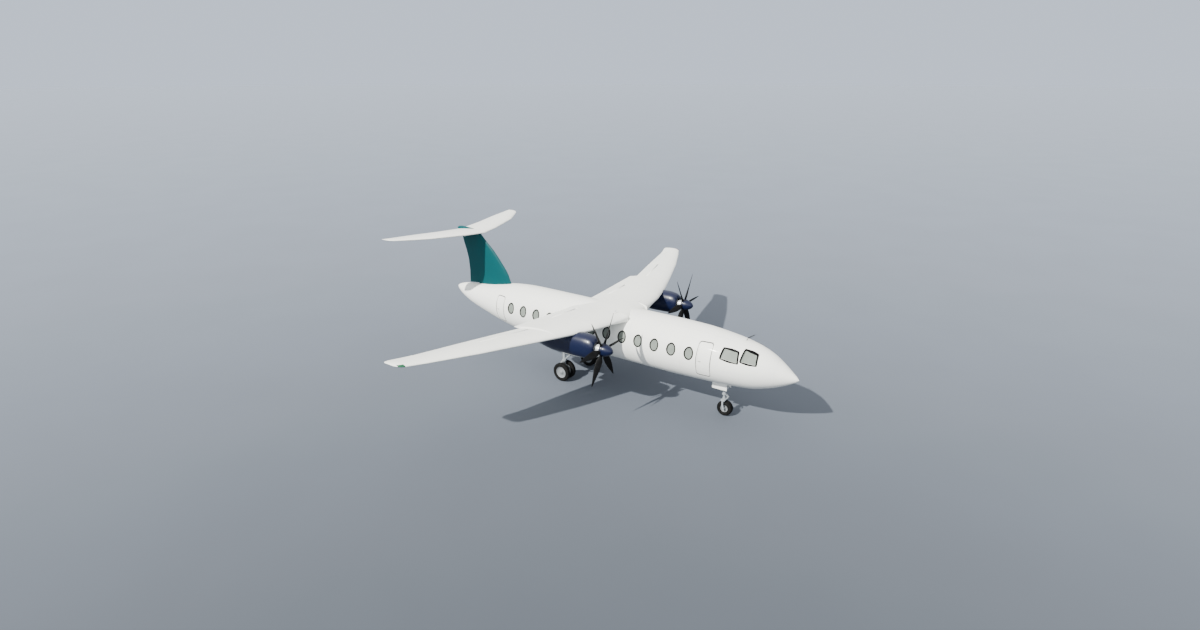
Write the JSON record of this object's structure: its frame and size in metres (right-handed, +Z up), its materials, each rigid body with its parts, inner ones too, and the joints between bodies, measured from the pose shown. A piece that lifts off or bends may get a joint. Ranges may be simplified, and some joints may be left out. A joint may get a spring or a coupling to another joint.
{
  "type": "twin turboprop airliner",
  "caption": "Regional airliner with a high wing, T-tail, wing-mounted propeller engines and wheeled gear, standing parked; control surfaces, wheels, propellers and doors move.",
  "frame": {"origin": "on the ground, half way along and half way across the aircraft", "axes": "+Z up; the nose points to -Y; +X is the aircraft's port (left) side"},
  "size_m": [24.54, 22.5926, 7.5874],
  "materials": {
    "fuselage_white": "gloss off-white paint",
    "door_white": "gloss off-white paint",
    "wing_white": "gloss off-white paint",
    "control_white": "satin off-white paint",
    "tail_white": "gloss off-white paint",
    "fairing_white": "gloss off-white paint",
    "nacelle_navy": "high-gloss navy paint",
    "spinner_navy": "high-gloss navy paint",
    "engine_silver": "satin metal",
    "blade_black": "satin black composite",
    "fin_teal": "gloss teal paint",
    "gear_grey": "satin grey enamel",
    "hub_grey": "satin light grey",
    "tyre_rubber": "matt black rubber"
  },
  "bodies": {
    "airframe": {"radome": "fuselage_white", "nose_section": "fuselage_white", "cabin_section": "fuselage_white", "tail_section": "fuselage_white", "front_door_right": "door_white", "rear_door_right": "door_white", "nose_gear_door_left": "door_white", "nose_gear_door_right": "door_white", "wing_centre": "wing_white", "outer_wing_left": "wing_white", "outer_wing_right": "wing_white", "nacelle_left": "nacelle_navy", "nacelle_right": "nacelle_navy", "engine_left": "engine_silver", "engine_right": "engine_silver", "fin": "fin_teal", "tail_bullet": "fin_teal", "tailplane": "tail_white", "gear_fairing_left": "fairing_white", "gear_fairing_right": "fairing_white", "main_leg_left": "gear_grey", "main_leg_right": "gear_grey", "nose_strut": "gear_grey"},
    "main_wheels_left": {"main_hubs_left": "hub_grey", "main_tyre_left_outer": "tyre_rubber", "main_tyre_left_inner": "tyre_rubber"},
    "main_wheels_right": {"main_hubs_right": "hub_grey", "main_tyre_right_outer": "tyre_rubber", "main_tyre_right_inner": "tyre_rubber"},
    "nose_steering": {"nose_fork": "gear_grey"},
    "nose_wheel": {"nose_hub": "hub_grey", "nose_tyre": "tyre_rubber"},
    "propeller_left": {"propeller_left": "blade_black", "spinner_left": "spinner_navy"},
    "propeller_right": {"propeller_right": "blade_black", "spinner_right": "spinner_navy"},
    "rudder": {"rudder": "fin_teal"},
    "elevator_left": {"elevator_left": "control_white"},
    "elevator_right": {"elevator_right": "control_white"},
    "aileron_left": {"aileron_left": "control_white"},
    "aileron_right": {"aileron_right": "control_white"},
    "inner_flap_left": {"inner_flap_left": "control_white"},
    "inner_flap_right": {"inner_flap_right": "control_white"},
    "outer_flap_left": {"outer_flap_left": "control_white"},
    "outer_flap_right": {"outer_flap_right": "control_white"},
    "front_door_left": {"front_door_left": "door_white"},
    "rear_door_left": {"rear_door_left": "door_white"}
  },
  "joints": [
    {"name": "main_wheels_left_spin", "type": "hinge", "parent": "airframe", "child": "main_wheels_left", "pos_m": [1.28, 1.57, 0.53], "axis": [1, 0, 0], "continuous": true},
    {"name": "main_wheels_right_spin", "type": "hinge", "parent": "airframe", "child": "main_wheels_right", "pos_m": [-1.28, 1.57, 0.53], "axis": [1, 0, 0], "continuous": true},
    {"name": "nose_steer", "type": "hinge", "parent": "airframe", "child": "nose_steering", "pos_m": [0, -7.62, 1], "axis": [0, 0, 1], "range_deg": [-60, 60]},
    {"name": "nose_wheel_spin", "type": "hinge", "parent": "nose_steering", "child": "nose_wheel", "pos_m": [0, -7.7, 0.4], "axis": [1, 0, 0], "continuous": true},
    {"name": "propeller_left_spin", "type": "hinge", "parent": "airframe", "child": "propeller_left", "pos_m": [4.09, -2.99, 3.85], "axis": [0, 1, 0], "continuous": true},
    {"name": "propeller_right_spin", "type": "hinge", "parent": "airframe", "child": "propeller_right", "pos_m": [-4.09, -2.99, 3.85], "axis": [0, 1, 0], "continuous": true},
    {"name": "rudder_hinge", "type": "hinge", "parent": "airframe", "child": "rudder", "pos_m": [0, 9.14, 4.1], "axis": [0, 0.1961, 0.9806], "range_deg": [-25, 25]},
    {"name": "elevator_left_hinge", "type": "hinge", "parent": "airframe", "child": "elevator_left", "pos_m": [0.16, 9.77808, 7.3464], "axis": [-0.9721, -0.2314, -0.0389], "range_deg": [-25, 18]},
    {"name": "elevator_right_hinge", "type": "hinge", "parent": "airframe", "child": "elevator_right", "pos_m": [-0.16, 9.77808, 7.3464], "axis": [-0.9721, 0.2314, 0.0389], "range_deg": [-25, 18]},
    {"name": "aileron_left_hinge", "type": "hinge", "parent": "airframe", "child": "aileron_left", "pos_m": [8.36, 1.37489, 4.58042], "axis": [-0.9702, -0.2407, -0.0284], "range_deg": [-20, 20]},
    {"name": "aileron_right_hinge", "type": "hinge", "parent": "airframe", "child": "aileron_right", "pos_m": [-8.36, 1.37489, 4.58042], "axis": [-0.9702, 0.2407, 0.0284], "range_deg": [-20, 20]},
    {"name": "inner_flap_left_hinge", "type": "hinge", "parent": "airframe", "child": "inner_flap_left", "pos_m": [1.95, 0.49783, 4.06007], "axis": [-0.9983, -0.0503, -0.0308], "range_deg": [0, 35]},
    {"name": "inner_flap_right_hinge", "type": "hinge", "parent": "airframe", "child": "inner_flap_right", "pos_m": [-1.95, 0.49783, 4.06007], "axis": [-0.9983, 0.0503, 0.0308], "range_deg": [0, 35]},
    {"name": "outer_flap_left_hinge", "type": "hinge", "parent": "airframe", "child": "outer_flap_left", "pos_m": [5.95, 0.52099, 4.17506], "axis": [-0.9663, -0.256, -0.0286], "range_deg": [0, 35]},
    {"name": "outer_flap_right_hinge", "type": "hinge", "parent": "airframe", "child": "outer_flap_right", "pos_m": [-5.95, 0.52099, 4.17506], "axis": [-0.9663, 0.256, 0.0286], "range_deg": [0, 35]},
    {"name": "front_door_hinge", "type": "hinge", "parent": "airframe", "child": "front_door_left", "pos_m": [0.96369, -6.96, 4.062], "axis": [-0.121, -0.9927, 0], "range_deg": [0, 95]},
    {"name": "rear_door_hinge", "type": "hinge", "parent": "airframe", "child": "rear_door_left", "pos_m": [0.99474, 6.36, 2.498], "axis": [-0.1962, 0.9806, 0], "range_deg": [0, 110]}
  ],
  "couplings": [
    {"joint": "elevator_right_hinge", "follows": "elevator_left_hinge", "ratio": 1},
    {"joint": "aileron_right_hinge", "follows": "aileron_left_hinge", "ratio": -1},
    {"joint": "inner_flap_right_hinge", "follows": "inner_flap_left_hinge", "ratio": 1},
    {"joint": "outer_flap_left_hinge", "follows": "inner_flap_left_hinge", "ratio": 1},
    {"joint": "outer_flap_right_hinge", "follows": "inner_flap_left_hinge", "ratio": 1}
  ]
}
